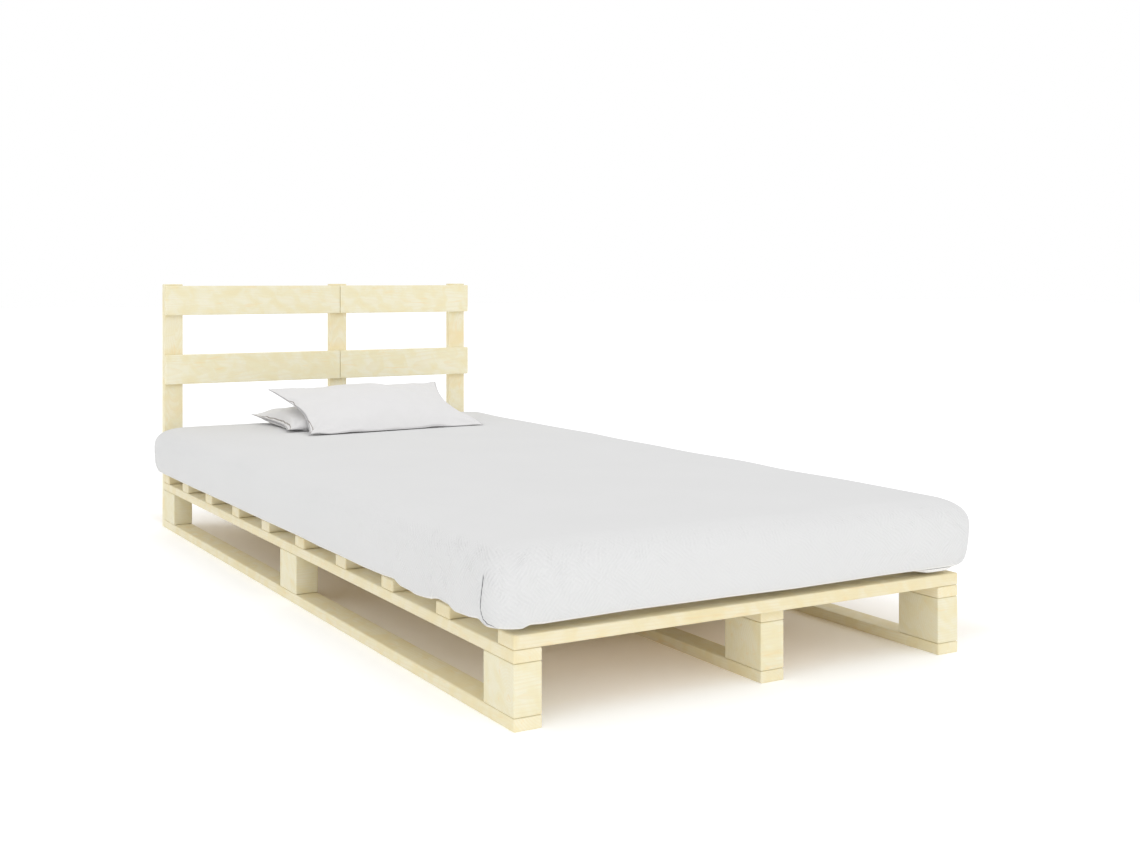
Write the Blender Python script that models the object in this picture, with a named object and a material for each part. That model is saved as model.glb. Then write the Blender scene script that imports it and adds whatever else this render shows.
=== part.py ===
# Single bed built like a pallet: three runners of rails and blocks, a deck of ten slats,
# a headboard of short planks on three posts, and a mattress with two pillows.
# Metres, +Z up. X runs across the bed and Y from the foot to the headboard.
# The origin is on the floor under the middle of the whole bed.

import math

import bmesh
import bpy
from mathutils import Vector

# Clearances and shared finish of the timber
seat_gap = 0.0003             # between two pieces that touch
edge_ease = 0.0020            # rounding of every sawn edge
edge_ease_steps = 2
weld_share = 0.1              # of that gap: points of a turned piece nearer than this are one

# Base
bed_length = 2.000
bed_width = 0.900
centre_line_share = 0.55      # of the width, from the left side: the short planks meet there
runner_width = 0.048
bottom_rail_thickness = 0.020
block_height = 0.080
block_length = 0.100
top_rail_thickness = 0.020
slat_width = 0.052
slat_thickness = 0.0212
centre_runner_setback = 0.018  # the middle runner starts this far behind the foot slat's face
slat_place_shares = (0.0, 0.113, 0.231, 0.346, 0.464, 0.576, 0.687, 0.799, 0.906, 1.0)

# Headboard
post_width = 0.050
post_thickness = 0.021
post_height = 0.6535
right_post_inset = 0.005      # the right post stands in from the planks' ends
plank_height = 0.079
plank_thickness = 0.016
plank_joint = 0.001           # open joint where two planks meet
plank_drop = 0.0045           # the upper planks stop below the tops of the posts
plank_spacing = 0.107         # open height between the lower and the upper planks

# Countersunk wood screws: shank, head and drive recess
screw_sides = 10
screw_sharp_angle = math.radians(30)      # edges of a screw steeper than this stay sharp
screw_clearance = 0.0003
long_screw_radius = 0.0025
long_head_radius = 0.0048
short_screw_radius = 0.0018
short_head_radius = 0.0036
head_sink = 0.0010            # the head lies this deep under the timber's face
recess_share = 0.45           # of the head's radius
recess_depth_share = 0.5      # of the head's height
tip_share = 2.0               # the point's length, in shank radii
runner_screw_bite_share = 0.8     # of the top rail's thickness
post_screw_bite_share = 0.4       # of the block's length
plank_screw_bite_share = 0.75     # of the plank's thickness
post_screw_height_shares = (0.28, 0.72)   # of the block's height
cutter_overrun = 0.002

# Mattress in its fitted sheet
mattress_thickness = 0.1365
mattress_crown = 0.004
mattress_side_bulge = 0.040
mattress_foot_bulge = 0.016
mattress_head_space = 0.016   # from the mattress's end to the posts
mattress_corner_radius = 0.055
mattress_widest_share = 0.60  # height of the widest line
mattress_lower_draw = 0.070   # how far the side comes in to the resting face
mattress_upper_draw = 0.080
mattress_lower_power = 3.0    # squareness of the lower and the upper edge
mattress_upper_power = 2.6
mattress_edge_steps = 6
mattress_corner_steps = 6
mattress_long_steps = 7
mattress_short_steps = 4
mattress_top_ring_shares = (0.8, 0.55, 0.3, 0.1)

# Pillows
pillow_width = 0.485
pillow_depth = 0.305
pillow_thickness = 0.090
pillow_side_draw_share = 0.12     # the short sides draw in between the corners
pillow_long_draw_share = 0.05
pillow_fullness = 0.55            # lower is fuller at the seam
pillow_columns = 16
pillow_rows = 12
rear_pillow_place_shares = (0.509, 0.884)    # of the bed's width and length
front_pillow_place_shares = (0.529, 0.8355)
rear_pillow_seam_rise = 0.012     # height of the seam's middle over the mattress
front_pillow_seam_rise = 0.0485
rear_pillow_lean = (math.radians(2), 0.0, 0.0)
front_pillow_lean = (math.radians(18), 0.0, math.radians(1))

# Heights and lines that follow from the sizes above
block_bottom = bottom_rail_thickness + seat_gap
top_rail_bottom = block_bottom + block_height + seat_gap
slat_bottom = top_rail_bottom + top_rail_thickness + seat_gap
slat_top = slat_bottom + slat_thickness
mattress_bottom = slat_top + seat_gap
mattress_top = mattress_bottom + mattress_thickness
centre_line = bed_width * centre_line_share
post_front = bed_length + seat_gap
post_back = post_front + post_thickness
plank_back = bed_length
plank_front = plank_back - plank_thickness
upper_plank_bottom = post_height - plank_drop - plank_height
lower_plank_bottom = upper_plank_bottom - plank_spacing - plank_height
mattress_foot = -mattress_foot_bulge
mattress_head = post_front - mattress_head_space

# name of the runner: its left side, where it starts, and the left side of its post
runners = {
    "left": (0.0, 0.0, 0.0),
    "centre": (centre_line - runner_width / 2, centre_runner_setback, centre_line - post_width / 2),
    "right": (bed_width - runner_width, 0.0, bed_width - right_post_inset - post_width),
}

# name of the finish: its red, green and blue, its roughness and its metallic value
finishes = {
    "pine_runner": ((0.86, 0.76, 0.52), 0.55, 0.0),
    "pine_slat": ((0.88, 0.80, 0.58), 0.60, 0.0),
    "pine_headboard": ((0.88, 0.80, 0.58), 0.50, 0.0),
    "cotton_sheet": ((0.78, 0.77, 0.77), 0.90, 0.0),
    "cotton_pillowcase": ((0.80, 0.79, 0.79), 0.90, 0.0),
    "zinc_plated_steel": ((0.62, 0.60, 0.52), 0.35, 1.0),
}


def clear_scene():
    for thing in list(bpy.data.objects):
        bpy.data.objects.remove(thing, do_unlink=True)


def finish(name):
    colour, roughness, metallic = finishes[name]
    material = bpy.data.materials.new(name)
    material.use_nodes = True
    shader = material.node_tree.nodes["Principled BSDF"]
    shader.inputs["Base Color"].default_value = (*colour, 1.0)
    shader.inputs["Roughness"].default_value = roughness
    shader.inputs["Metallic"].default_value = metallic
    return material


def add_object(name, mesh, parent, location=(0.0, 0.0, 0.0)):
    thing = bpy.data.objects.new(name, mesh)
    thing.parent = parent
    thing.location = location
    bpy.context.collection.objects.link(thing)
    return thing


def add_cutter(name, mesh, parent, location, turn=(0.0, 0.0, 0.0)):
    """A shape that only cuts its neighbours and isn't a piece of the bed."""
    cutter = add_object(name, mesh, parent, location)
    cutter.rotation_euler = turn
    cutter.hide_render = True
    cutter.display_type = "WIRE"
    return cutter


def cut(piece, cutter):
    bore = piece.modifiers.new("cut_by_" + cutter.name, "BOOLEAN")
    bore.object = cutter
    bore.operation = "DIFFERENCE"
    bore.solver = "EXACT"


def add_timber(name, low, high, bed, material):
    """A sawn length of timber between two corners, with eased edges."""
    size = Vector(high) - Vector(low)
    mesh = bpy.data.meshes.new(name)
    body = bmesh.new()
    bmesh.ops.create_cube(body, size=1.0)
    bmesh.ops.scale(body, vec=size, verts=body.verts)
    body.to_mesh(mesh)
    body.free()
    mesh.materials.append(material)
    piece = add_object(name, mesh, bed, (Vector(low) + Vector(high)) / 2)
    ease = piece.modifiers.new("eased_edges", "BEVEL")
    ease.width = edge_ease
    ease.segments = edge_ease_steps
    ease.limit_method = "ANGLE"
    return piece


def turned_mesh(name, profile, material=None):
    """Turns a profile of (radius, distance along Z) pairs into a closed round body."""
    body = bmesh.new()
    points = [body.verts.new((radius, 0.0, along)) for radius, along in profile]
    edges = [body.edges.new(pair) for pair in zip(points, points[1:])]
    bmesh.ops.spin(
        body, geom=points + edges, cent=(0.0, 0.0, 0.0), axis=(0.0, 0.0, 1.0),
        angle=math.tau, steps=screw_sides, use_merge=True)
    bmesh.ops.remove_doubles(body, verts=body.verts, dist=seat_gap * weld_share)
    bmesh.ops.recalc_face_normals(body, faces=body.faces)
    mesh = bpy.data.meshes.new(name)
    body.to_mesh(mesh)
    body.free()
    if material:
        mesh.materials.append(material)
        mesh.shade_smooth()
        mesh.set_sharp_from_angle(angle=screw_sharp_angle)
    return mesh


def screw_profile(radius, head_radius, length):
    """Countersunk screw: its drive face at zero, its point at the far end of its length."""
    head_height = head_radius - radius
    recess_radius = head_radius * recess_share
    recess_depth = head_height * recess_depth_share
    return [
        (0.0, recess_depth), (recess_radius, recess_depth), (recess_radius, 0.0),
        (head_radius, 0.0), (radius, head_height), (radius, length - tip_share * radius),
        (0.0, length)]


def hole_profile(radius, head_radius, length):
    """The screw's own outline, grown by its clearance and open at the timber's face."""
    head_height = head_radius - radius
    wide = head_radius + screw_clearance
    narrow = radius + screw_clearance
    mouth = -head_sink - cutter_overrun
    return [
        (0.0, mouth), (wide, mouth), (wide, 0.0), (narrow, head_height),
        (narrow, length - tip_share * radius), (0.0, length + 2 * screw_clearance)]


def drive_screws(places, radius, head_radius, length, turn, bed, material):
    """Puts one screw at each named place and bores its hole in the pieces it joins."""
    screw_mesh = turned_mesh("screw", screw_profile(radius, head_radius, length), material)
    hole_mesh = turned_mesh("screw_hole", hole_profile(radius, head_radius, length))
    for name, (place, pieces) in places.items():
        screw = add_object(name, screw_mesh, bed, place)
        screw.rotation_euler = turn
        hole = add_cutter("hole_for_" + name, hole_mesh, bed, place, turn)
        for piece in pieces:
            cut(piece, hole)


def build_base(bed):
    """Runners of rail, blocks and rail, with the slats laid across them."""
    pine = finish("pine_runner")
    pale = finish("pine_slat")
    pieces = {}
    for side, (left, start, _) in runners.items():
        right = left + runner_width
        pieces["bottom_rail_" + side] = add_timber(
            "bottom_rail_" + side, (left, start, 0.0),
            (right, bed_length, bottom_rail_thickness), bed, pine)
        block_starts = {
            "foot": start,
            "middle": (bed_length - block_length) / 2,
            "head": bed_length - block_length,
        }
        for end, block_start in block_starts.items():
            name = f"block_{side}_{end}"
            pieces[name] = add_timber(
                name, (left, block_start, block_bottom),
                (right, block_start + block_length, block_bottom + block_height), bed, pine)
        pieces["top_rail_" + side] = add_timber(
            "top_rail_" + side, (left, start, top_rail_bottom),
            (right, bed_length, top_rail_bottom + top_rail_thickness), bed, pine)
    for number, share in enumerate(slat_place_shares, start=1):
        near = share * (bed_length - slat_width)
        add_timber(
            f"slat_{number:02d}", (0.0, near, slat_bottom),
            (bed_width, near + slat_width, slat_top), bed, pale)
    return pieces


def build_headboard(bed):
    """Three posts behind the base, and two rows of two planks on their fronts."""
    pine = finish("pine_headboard")
    pieces = {}
    for side, (_, _, post_left) in runners.items():
        pieces["headboard_post_" + side] = add_timber(
            "headboard_post_" + side, (post_left, post_front, 0.0),
            (post_left + post_width, post_back, post_height), bed, pine)
    spans = {
        "left": (0.0, centre_line - plank_joint / 2),
        "right": (centre_line + plank_joint / 2, bed_width),
    }
    for row, bottom in (("upper", upper_plank_bottom), ("lower", lower_plank_bottom)):
        for side, (left, right) in spans.items():
            name = f"headboard_plank_{row}_{side}"
            pieces[name] = add_timber(
                name, (left, plank_front, bottom),
                (right, plank_back, bottom + plank_height), bed, pine)
    return pieces, spans


def build_screws(bed, base, headboard, spans):
    """Screws up through the runners, and from behind through the posts."""
    zinc = finish("zinc_plated_steel")
    up = (0.0, 0.0, 0.0)
    towards_foot = (math.radians(90), 0.0, 0.0)

    places = {}
    for side, (left, start, _) in runners.items():
        middles = {
            "foot": start + block_length / 2,
            "middle": bed_length / 2,
            "head": bed_length - block_length / 2,
        }
        for end, along in middles.items():
            places[f"runner_screw_{side}_{end}"] = (
                (left + runner_width / 2, along, head_sink),
                (base["bottom_rail_" + side], base[f"block_{side}_{end}"],
                 base["top_rail_" + side]))
    length = top_rail_bottom + top_rail_thickness * runner_screw_bite_share - head_sink
    drive_screws(places, long_screw_radius, long_head_radius, length, up, bed, zinc)

    places = {}
    for side, (left, _, _) in runners.items():
        for row, share in zip(("lower", "upper"), post_screw_height_shares):
            places[f"post_screw_{side}_{row}"] = (
                (left + runner_width / 2, post_back - head_sink,
                 block_bottom + block_height * share),
                (headboard["headboard_post_" + side], base[f"block_{side}_head"]))
    length = post_back - head_sink - (bed_length - block_length * post_screw_bite_share)
    drive_screws(places, long_screw_radius, long_head_radius, length, towards_foot, bed, zinc)

    places = {}
    for row, bottom in (("upper", upper_plank_bottom), ("lower", lower_plank_bottom)):
        for side, (left, right) in spans.items():
            for post in (side, "centre"):
                post_left = runners[post][2]
                lap_left = max(left, post_left)
                lap_right = min(right, post_left + post_width)
                at = "end" if post == side else "joint"
                places[f"plank_screw_{row}_{side}_{at}"] = (
                    ((lap_left + lap_right) / 2, post_back - head_sink,
                     bottom + plank_height / 2),
                    (headboard["headboard_post_" + post],
                     headboard[f"headboard_plank_{row}_{side}"]))
    length = post_back - head_sink - (plank_back - plank_thickness * plank_screw_bite_share)
    drive_screws(places, short_screw_radius, short_head_radius, length, towards_foot, bed, zinc)


def soft_mesh(name, points, faces, material=None):
    """Closed body whose four-sided faces are split along one diagonal, so that a copy
    grown by a clearance has the same facets."""
    halves = []
    for face in faces:
        is_square = len(face) == 4
        halves += [face[:3], [face[0], *face[2:]]] if is_square else [face]
    mesh = bpy.data.meshes.new(name)
    mesh.from_pydata(points, [], halves)
    mesh.shade_smooth()
    if material:
        mesh.materials.append(material)
    return mesh


def mattress_outline(grow):
    """Rounded rectangle round the widest line, moved outwards by grow, or inwards where that
    is negative."""
    low_x, high_x = -mattress_side_bulge - grow, bed_width + mattress_side_bulge + grow
    low_y, high_y = mattress_foot - grow, mattress_head + grow
    radius = mattress_corner_radius * (high_x - low_x) / (bed_width + 2 * mattress_side_bulge)
    corners = [
        (low_x + radius, low_y + radius, 180, mattress_short_steps),
        (high_x - radius, low_y + radius, 270, mattress_long_steps),
        (high_x - radius, high_y - radius, 0, mattress_short_steps),
        (low_x + radius, high_y - radius, 90, mattress_long_steps),
    ]
    points = []
    for index, (centre_x, centre_y, start, side_steps) in enumerate(corners):
        for step in range(mattress_corner_steps + 1):
            angle = math.radians(start + 90 * step / mattress_corner_steps)
            points.append(Vector((
                centre_x + radius * math.cos(angle), centre_y + radius * math.sin(angle))))
        next_x, next_y, next_start, _ = corners[(index + 1) % len(corners)]
        angle = math.radians(next_start)
        ahead = Vector((next_x + radius * math.cos(angle), next_y + radius * math.sin(angle)))
        last = points[-1].copy()
        points += [last.lerp(ahead, step / side_steps) for step in range(1, side_steps)]
    return points


def mattress_mesh(name, grow=0.0, material=None):
    """Puffed slab: full sides round into a flat resting face and a slightly crowned top."""
    widest = mattress_bottom + mattress_thickness * mattress_widest_share
    shoulder = mattress_top - mattress_crown
    rings = []
    for step in range(mattress_edge_steps, 0, -1):
        angle = math.radians(90 * step / mattress_edge_steps)
        drop = (widest - mattress_bottom + grow) * math.sin(angle) ** (2 / mattress_lower_power)
        draw = mattress_lower_draw * (1 - math.cos(angle) ** (2 / mattress_lower_power))
        rings.append((draw, widest - drop))
    for step in range(mattress_edge_steps + 1):
        angle = math.radians(90 * step / mattress_edge_steps)
        rise = (shoulder - widest + grow) * math.sin(angle) ** (2 / mattress_upper_power)
        draw = mattress_upper_draw * (1 - math.cos(angle) ** (2 / mattress_upper_power))
        rings.append((draw, widest + rise))

    outlines = []
    for draw, height in rings:
        lift = Vector((0.0, 0.0, height))
        outlines.append([point.to_3d() + lift for point in mattress_outline(grow - draw)])
    middle = Vector((bed_width / 2, (mattress_foot + mattress_head) / 2, 0.0))
    rim = outlines[-1]
    for share in mattress_top_ring_shares:
        height = shoulder + grow + mattress_crown * (1 - share ** 2)
        outlines.append([
            Vector((*(middle + (point - middle) * share).to_2d(), height)) for point in rim])

    points = [point for outline in outlines for point in outline]
    count = len(rim)
    faces = [list(reversed(range(count)))]
    for ring in range(len(outlines) - 1):
        for step in range(count):
            here, there = ring * count + step, ring * count + (step + 1) % count
            faces.append([here, there, there + count, here + count])
    top = len(points)
    points.append(Vector((middle.x, middle.y, mattress_top + grow)))
    last = top - count
    faces += [[last + step, last + (step + 1) % count, top] for step in range(count)]
    return soft_mesh(name, points, faces, material)


def pillow_mesh(name, grow=0.0, material=None):
    """Two crowned faces that meet in a seam, drawn in between four pointed corners."""
    half_width = pillow_width / 2 + grow
    half_depth = pillow_depth / 2 + grow
    half_height = pillow_thickness / 2 + grow
    points, index = [], {}
    for face in (1, -1):
        for row in range(pillow_rows + 1):
            for column in range(pillow_columns + 1):
                on_seam = row in (0, pillow_rows) or column in (0, pillow_columns)
                key = (row, column) if on_seam else (row, column, face)
                if key in index:
                    continue
                across = 2 * column / pillow_columns - 1
                along = 2 * row / pillow_rows - 1
                bow_across = math.cos(across * math.pi / 2)
                bow_along = math.cos(along * math.pi / 2)
                rise = 0.0 if on_seam else (bow_across * bow_along) ** pillow_fullness
                index[key] = len(points)
                points.append((
                    half_width * across * (1 - pillow_side_draw_share * bow_along),
                    half_depth * along * (1 - pillow_long_draw_share * bow_across),
                    half_height * rise * face))
    faces = []
    for face in (1, -1):
        for row in range(pillow_rows):
            for column in range(pillow_columns):
                corners = [(row, column), (row, column + 1), (row + 1, column + 1), (row + 1, column)]
                ring = [index.get(corner, index.get((*corner, face))) for corner in corners]
                faces.append(ring[::face])
    return soft_mesh(name, points, faces, material)


def build_soft_parts(bed):
    """Mattress on the slats, and two pillows that press into it and onto each other."""
    sheet = finish("cotton_sheet")
    case = finish("cotton_pillowcase")
    add_object("mattress", mattress_mesh("mattress", material=sheet), bed)
    mattress_seat = add_cutter(
        "mattress_seat", mattress_mesh("mattress_seat", seat_gap), bed, (0.0, 0.0, 0.0))

    across, along = rear_pillow_place_shares
    place = (bed_width * across, bed_length * along, mattress_top + rear_pillow_seam_rise)
    rear = add_object("pillow_rear", pillow_mesh("pillow_rear", material=case), bed, place)
    rear.rotation_euler = rear_pillow_lean
    rear_seat = add_cutter(
        "rear_pillow_seat", pillow_mesh("rear_pillow_seat", seat_gap), bed, place, rear_pillow_lean)

    across, along = front_pillow_place_shares
    place = (bed_width * across, bed_length * along, mattress_top + front_pillow_seam_rise)
    front = add_object("pillow_front", pillow_mesh("pillow_front", material=case), bed, place)
    front.rotation_euler = front_pillow_lean

    cut(rear, mattress_seat)
    cut(front, mattress_seat)
    cut(front, rear_seat)


def build():
    clear_scene()
    bed = bpy.data.objects.new("bed", None)
    bpy.context.collection.objects.link(bed)
    bed.location = (-bed_width / 2, -(mattress_foot + post_back) / 2, 0.0)
    base = build_base(bed)
    headboard, spans = build_headboard(bed)
    build_screws(bed, base, headboard, spans)
    build_soft_parts(bed)


build()
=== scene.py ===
import math
from functools import partial

import bpy
import numpy as np
from mathutils import Matrix, Vector


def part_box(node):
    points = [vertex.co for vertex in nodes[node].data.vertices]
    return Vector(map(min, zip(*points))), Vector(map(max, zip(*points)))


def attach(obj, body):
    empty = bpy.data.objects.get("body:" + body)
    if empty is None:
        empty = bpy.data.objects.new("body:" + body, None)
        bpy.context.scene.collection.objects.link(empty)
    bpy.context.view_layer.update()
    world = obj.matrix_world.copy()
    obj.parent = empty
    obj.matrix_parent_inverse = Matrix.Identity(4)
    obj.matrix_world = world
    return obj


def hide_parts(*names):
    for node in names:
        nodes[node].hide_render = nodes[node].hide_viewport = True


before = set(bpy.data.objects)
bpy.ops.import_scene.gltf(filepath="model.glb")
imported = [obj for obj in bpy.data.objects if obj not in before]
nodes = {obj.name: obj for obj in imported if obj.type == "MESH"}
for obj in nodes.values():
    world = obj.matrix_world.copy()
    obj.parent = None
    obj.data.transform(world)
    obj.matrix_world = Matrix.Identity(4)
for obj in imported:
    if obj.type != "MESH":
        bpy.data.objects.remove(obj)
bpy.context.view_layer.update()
print("frame loaded:", len(nodes), "nodes")


# Small helpers

def linear(hexColour):
    # an sRGB hex colour as the linear colour that a shader wants
    shares = [int(hexColour[i:i + 2], 16) / 255 for i in (1, 3, 5)]
    return (*[s / 12.92 if s <= 0.04045 else ((s + 0.055) / 1.055) ** 2.4 for s in shares], 1.0)


def setInputs(node, inputs):
    # inputs of a shader node by name or number, or as a list in order. Each takes a value, an
    # output, or a node, which stands for its first output in use
    for name, value in inputs.items() if isinstance(inputs, dict) else enumerate(inputs):
        if isinstance(value, bpy.types.Node):
            value = next(output for output in value.outputs if output.enabled)
        if isinstance(value, bpy.types.NodeSocket):
            node.id_data.links.new(value, node.inputs[name])
        else:
            node.inputs[name].default_value = value


# the setting that a kind of node is mostly given
mainSetting = {"Math": "operation", "VectorMath": "operation", "Mix": "data_type",
               "MapRange": "interpolation_type"}


def addNode(tree, kind, inputs=(), main=None, **settings):
    # one shader node with its settings and inputs
    node = tree.nodes.new("ShaderNode" + kind)
    if main:
        settings[mainSetting[kind]] = main
    for name, value in settings.items():
        setattr(node, name, value)
    setInputs(node, inputs)
    return node


def newMaterial(name, roughness, specular=0.5, metallic=0.0):
    # returns the material, addNode for its own tree, and its shader
    material = bpy.data.materials.new(name)
    material.use_nodes = True
    shader = material.node_tree.nodes["Principled BSDF"]
    setInputs(shader, {"Roughness": roughness, "Specular IOR Level": specular,
                       "Metallic": metallic})
    return material, partial(addNode, material.node_tree), shader


def finishSurface(add, shader, colour, height, strength, depth):
    # gives a shader its colour, and a height as a relief of the given depth in metres
    relief = add("Bump", {"Height": height, "Strength": strength, "Distance": depth})
    setInputs(shader, {"Base Color": colour, "Normal": relief})


def addObject(name, data):
    thing = bpy.data.objects.new(name, data)
    bpy.context.collection.objects.link(thing)
    return thing


def addMesh(name, points, faces, material):
    # a mesh object whose place is in its points; faces are rows of four corners
    mesh = bpy.data.meshes.new(name)
    mesh.from_pydata(points.tolist(), [], faces.tolist())
    mesh.shade_smooth()
    mesh.materials.append(material)
    return addObject(name, mesh)


def addPiece(name, points, faces, material):
    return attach(addMesh(name, points, faces, material), "root")


def ringFaces(rows, columns):
    # quads between closed rings of points, which are numbered ring by ring
    ids = np.arange(rows * columns).reshape(rows, columns)
    ahead = np.roll(ids, -1, axis=1)
    return np.stack([ids[:-1], ahead[:-1], ahead[1:], ids[1:]], -1).reshape(-1, 4)


def gridFaces(ids):
    # quads between neighbours in a grid of point numbers
    return np.stack([ids[:-1, :-1], ids[1:, :-1], ids[1:, 1:], ids[:-1, 1:]], -1).reshape(-1, 4)


def smoothStep(low, high, value):
    share = np.clip((value - low) / (high - low), 0, 1)
    return share * share * (3 - 2 * share)


def bell(value, width):
    # one at nought, and near nought beyond twice the width
    return np.exp(-(value / width) ** 2)


def softNoise(points, wavelength, seed, waves=28):
    # smooth noise of about unit size: a sum of plane waves with random directions and phases
    rng = np.random.default_rng(seed)
    turns = rng.normal(size=(waves, points.shape[-1]))
    turns *= (rng.uniform(0.6, 1.5, waves) / np.linalg.norm(turns, axis=1))[:, None]
    phases = rng.uniform(0, math.tau, waves)
    wave = np.cos(points @ turns.T * (math.tau / wavelength) + phases)
    return wave.sum(-1) * math.sqrt(2 / waves)


def eulerMatrix(angles):
    return (Matrix.Rotation(angles[2], 3, "Z") @ Matrix.Rotation(angles[1], 3, "Y")
            @ Matrix.Rotation(angles[0], 3, "X"))


# Camera, light and floor

view = {
    "place": (-1.42938, -2.84323, 0.66870),
    "turn": math.radians(-30.27585),     # the lens axis is level, towards the headboard and right
    "lens": 44.7345,
    "sensor": 36.0,
    "shift": (0.0003, -0.13066),         # the horizon lies above the middle of the frame
}

studio = {
    "dome": (0.805, 0.31),               # light at the horizon, and how much more overhead
    "domeBack": 0.40,                    # how much less comes from low down behind the bed,
    "domeSides": 0.30,                   # the share of that at its sides,
    "domeDimTop": 0.5,                   # and how high that reaches
    "boxSize": 6.4,
    "boxPlace": (-3.4, -10.6, 7.4),      # large softbox over the camera's shoulder
    "boxPower": 220.0,
    "floorSize": 60.0,
    "floorColours": ("#F9F9F8", "#FBFBFA"),
    # painted light, as a glow of the floor: strength and colour round the bed, under it, and under
    # its foot end
    "floorPaintedGlow": ((0.205, "#F7FAFF"), (0.060, "#FFC870"), (0.130, "#FFD9B0")),
    # soft edges of these two places: an axis, where the place starts, and where it is full
    "underBed": (("X", -0.465, -0.425), ("X", 0.78, 0.58), ("Y", -1.01, -0.89), ("Y", 1.40, 1.10)),
    "underFoot": (("X", -0.42, -0.16), ("X", 0.42, 0.16), ("Y", -0.58, -0.72)),
}


def buildCamera():
    lens = bpy.data.cameras.new("camera")
    lens.lens, lens.sensor_width = view["lens"], view["sensor"]
    lens.shift_x, lens.shift_y = view["shift"]
    camera = addObject("camera", lens)
    camera.location = view["place"]
    camera.rotation_euler = (math.radians(90), 0, view["turn"])
    bpy.context.scene.camera = camera
    bpy.context.scene.view_settings.view_transform = "Standard"


def buildLight():
    # a white dome, dimmer low down behind the bed and a little at its sides. The camera sees
    # plain white
    world = bpy.data.worlds.new("studio")
    world.use_nodes = True
    sky = world.node_tree
    add = partial(addNode, sky)
    way = add("SeparateXYZ", [add("TexCoord").outputs["Generated"]])
    least, more = studio["dome"]
    level = add("Math", [way.outputs["Z"], more, least], "MULTIPLY_ADD")
    backward = add("Math", [way.outputs["Y"], 0.0], "MAXIMUM")
    sideways = add("Math", [way.outputs["X"]], "ABSOLUTE")
    away = add("Math", [sideways, studio["domeSides"], backward], "MULTIPLY_ADD")
    lowness = add("MapRange", [
        way.outputs["Z"], 0.0, studio["domeDimTop"], -studio["domeBack"], 0.0])
    dimmed = add("Math", [away, lowness, level], "MULTIPLY_ADD")
    seen = add("LightPath").outputs["Is Camera Ray"]
    shown = add("Mix", {0: seen, 2: dimmed, 3: 1.0})
    setInputs(sky.nodes["Background"], {"Color": linear("#FFFFFF"), "Strength": shown})
    bpy.context.scene.world = world

    lamp = bpy.data.lights.new("softbox", "AREA")
    lamp.size, lamp.energy = studio["boxSize"], studio["boxPower"]
    softbox = addObject("softbox", lamp)
    softbox.location = studio["boxPlace"]
    softbox.rotation_euler = Vector(studio["boxPlace"]).to_track_quat("Z", "Y").to_euler()


def buildFloor():
    # matt floor with a painted glow, which keeps it white round the bed. Under the bed the glow is
    # weak and warm, a painted warm shade, and under its foot end it is stronger: painted warm
    # light
    material, add, shader = newMaterial("floor_painted_glow", 0.9, 0.2)
    coords = add("TexCoord").outputs["Object"]
    place = add("SeparateXYZ", [coords])
    glows = [[strength * channel for channel in linear(colour)[:3]] + [1.0]
             for strength, colour in studio["floorPaintedGlow"]]

    def within(edges):
        # share of being inside soft edges: the product of the shares at each of them
        product = 1.0
        for axis, outer, inner in edges:
            share = add("MapRange", [place.outputs[axis], outer, inner], "SMOOTHSTEP")
            product = add("Math", [product, share], "MULTIPLY")
        return product

    # painted light and shade: the glow is cool round the bed, weak and warm under it, and stronger
    # and warm under its foot end
    glow = glows[2]
    for edges, around in ((studio["underFoot"], glows[1]), (studio["underBed"], glows[0])):
        glow = add("Mix", {0: within(edges), 6: around, 7: glow}, "RGBA")
    cloudy = add("TexNoise", {"Vector": coords, "Scale": 0.8, "Detail": 2.0})
    tone = add("ValToRGB", {"Fac": cloudy})
    for stop, colour in zip(tone.color_ramp.elements, studio["floorColours"]):
        stop.color = linear(colour)
    setInputs(shader, {"Base Color": tone, "Emission Color": glow, "Emission Strength": 1.0})
    corners = np.array([(-1, -1, 0), (1, -1, 0), (1, 1, 0), (-1, 1, 0)]) * studio["floorSize"] / 2
    floor = addMesh("floor", corners, np.array([(0, 1, 2, 3)]), material)
    print("studio ready")


# Pine: sawn and sanded softwood, unfinished. Pale earlywood with thin latewood lines, a cloudy
# figure across the face and short warm streaks. Rings run round a pith line along each board

pine = {
    "ringSpacing": 0.0046,
    "ringWander": 0.0035,        # how far noise bends the rings
    "lateWood": (0.35, 0.98),    # where the darker late wood starts and is full, in a ring
    "pithDistance": (0.035, 0.075),
    "pithSlack": 0.012,          # how far the pith line strays from there
    "pithTilt": math.radians(2.2),
    "postTilt": 4.5,             # posts are cut askew, so that rings cross them as bands
    # noises drawn out along the grain: the share left of that length, then scale, detail,
    # roughness and distortion. The fibres are coarser than real ones, so that they show
    "noises": {
        "wander": (0.12, 16.0, 2.0, 0.5, 0.0),
        "fade": (0.20, 9.0, 1.0, 0.5, 0.0),
        "flecks": (0.16, 1 / 0.012, 2.0, 0.6, 0.4),
        "fibres": (0.03, 1 / 0.0016, 2.0, 0.5, 0.0),
    },
    "figureSize": 0.036,         # cloudy figure, slanting across the face
    "figureSlant": (0, math.radians(-38), math.radians(32)),
    "figureStretch": (0.62, 1.25, 1.25),
    "bandGap": 0.062,            # warm bands across the posts, bowed by this stretch
    "bandStretch": (1, 0.22, 0.22),
    "fibreTone": (-0.018, 0.012),    # how the fibres change the tone
    "early": "#ECE6C8",
    "late": "#EADFBC",
    "shade": "#EADFB7",
    "cloud": "#EEE8D0",
    "streak": "#EDD6A2",
    "roughness": 0.55,
    "specular": 0.35,
    "relief": 0.00012,
}

grainTurns = {"x": (0, 0, 0), "y": (0, 0, -math.pi / 2), "z": (0, math.pi / 2, 0)}


def warmed(hexColour, warmth):
    # a linear colour with a share of its green and more of its blue taken out
    red, green, blue, alpha = linear(hexColour)
    return red, green * (1 - 0.036 * warmth), blue * (1 - 0.085 * warmth), alpha


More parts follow.
